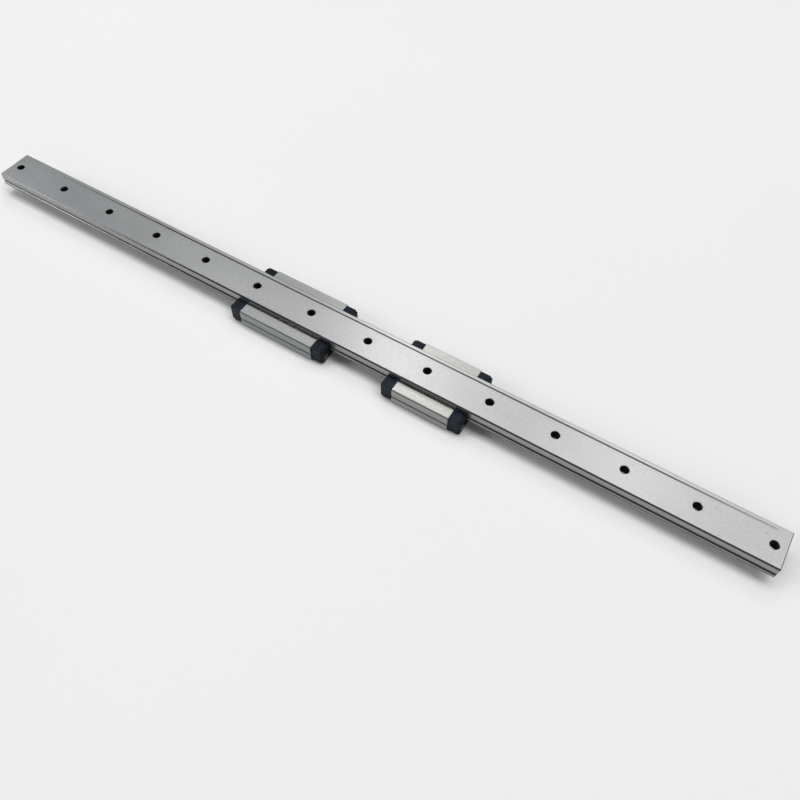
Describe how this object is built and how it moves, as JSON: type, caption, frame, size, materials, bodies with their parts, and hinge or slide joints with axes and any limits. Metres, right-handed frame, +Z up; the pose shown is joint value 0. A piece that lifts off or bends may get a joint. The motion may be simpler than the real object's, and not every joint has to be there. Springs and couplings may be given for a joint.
{
  "type": "linear guide carriage",
  "caption": "Wide miniature linear guide: ball-bearing carriages on a flat drilled steel rail, standing on their mounting faces with the rail's mounting face up.",
  "frame": {"origin": "under the middle of the rail's length and width, on the plane of the carriages' mounting faces, on which the guide stands", "axes": "+X along the rail, towards the short carriage's end; +Y across the rail; +Z up, out of the rail's mounting face"},
  "size_m": [0.4, 0.03, 0.012],
  "materials": {
    "rail_steel": "ground",
    "block_steel": "ground",
    "cap_plastic": "moulded, dark blue-black",
    "seal_rubber": "matte",
    "guide_plastic": "moulded",
    "ball_steel": "polished",
    "wire_steel": "drawn",
    "screw_steel": "turned"
  },
  "bodies": {
    "rail": {"rail": "rail_steel"},
    "long_carriage": {"long_block": "block_steel", "long_cap_left": "cap_plastic", "long_cap_right": "cap_plastic", "long_seal_left": "seal_rubber", "long_seal_right": "seal_rubber", "long_guide_left_front": "guide_plastic", "long_guide_left_back": "guide_plastic", "long_guide_right_front": "guide_plastic", "long_guide_right_back": "guide_plastic", "long_balls_front": "ball_steel", "long_balls_back": "ball_steel", "long_wire_front": "wire_steel", "long_wire_back": "wire_steel", "long_screws_left": "screw_steel", "long_screws_right": "screw_steel"},
    "short_carriage": {"short_block": "block_steel", "short_cap_left": "cap_plastic", "short_cap_right": "cap_plastic", "short_seal_left": "seal_rubber", "short_seal_right": "seal_rubber", "short_guide_left_front": "guide_plastic", "short_guide_left_back": "guide_plastic", "short_guide_right_front": "guide_plastic", "short_guide_right_back": "guide_plastic", "short_balls_front": "ball_steel", "short_balls_back": "ball_steel", "short_wire_front": "wire_steel", "short_wire_back": "wire_steel", "short_screws_left": "screw_steel", "short_screws_right": "screw_steel"}
  },
  "joints": [
    {"name": "long_carriage_slide", "type": "slide", "parent": "rail", "child": "long_carriage", "axis": [1, 0, 0], "range_m": [-0.15, 0.015]},
    {"name": "short_carriage_slide", "type": "slide", "parent": "rail", "child": "short_carriage", "axis": [1, 0, 0], "range_m": [-0.015, 0.13]}
  ]
}
